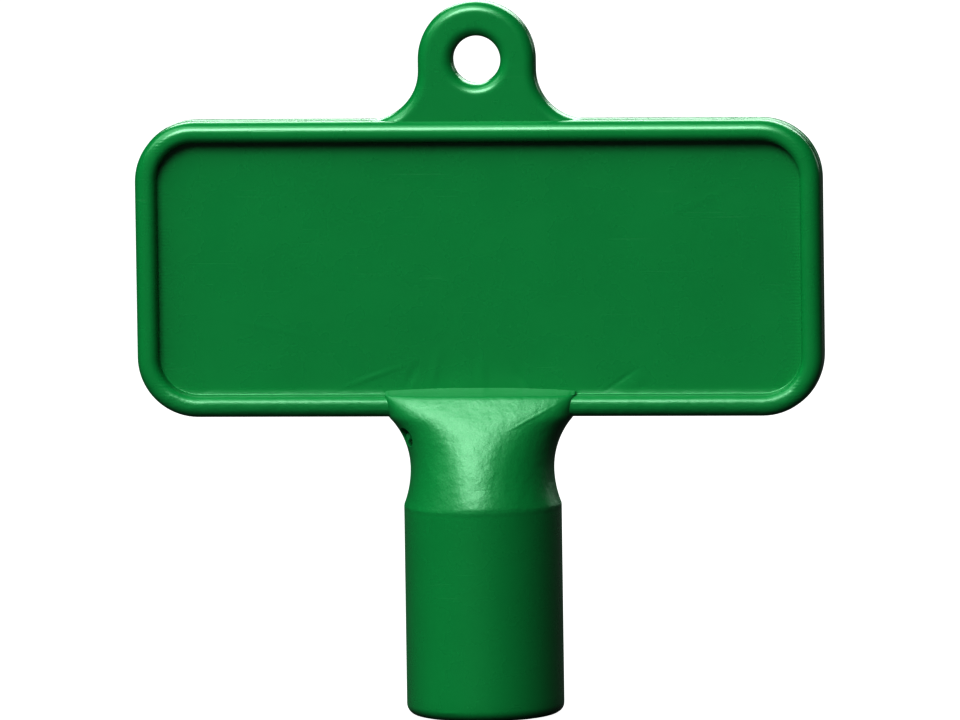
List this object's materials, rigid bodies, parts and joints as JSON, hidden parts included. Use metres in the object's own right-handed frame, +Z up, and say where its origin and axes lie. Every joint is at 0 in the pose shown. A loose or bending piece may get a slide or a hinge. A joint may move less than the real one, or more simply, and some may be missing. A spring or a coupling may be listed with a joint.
{
  "type": "radiator bleed key",
  "caption": "T-shaped moulded plastic key with a framed flat handle plate, a hanging tab with a hole, and a round stem with a square steel socket in its end.",
  "frame": {"origin": "centre of the stem's end face, which is the lowest point when the key stands on its stem", "axes": "+Z up the stem to the handle plate and tab, X along the plate's width, Y through the plate's thickness with the front facing -Y"},
  "size_m": [0.07, 0.016, 0.0729],
  "materials": {
    "green_plastic": "satin gloss injection-moulded ABS",
    "socket_steel": "zinc-plated, drawn and broached"
  },
  "bodies": {
    "root": {"key_body": "green_plastic", "socket_insert": "socket_steel"}
  },
  "joints": []
}
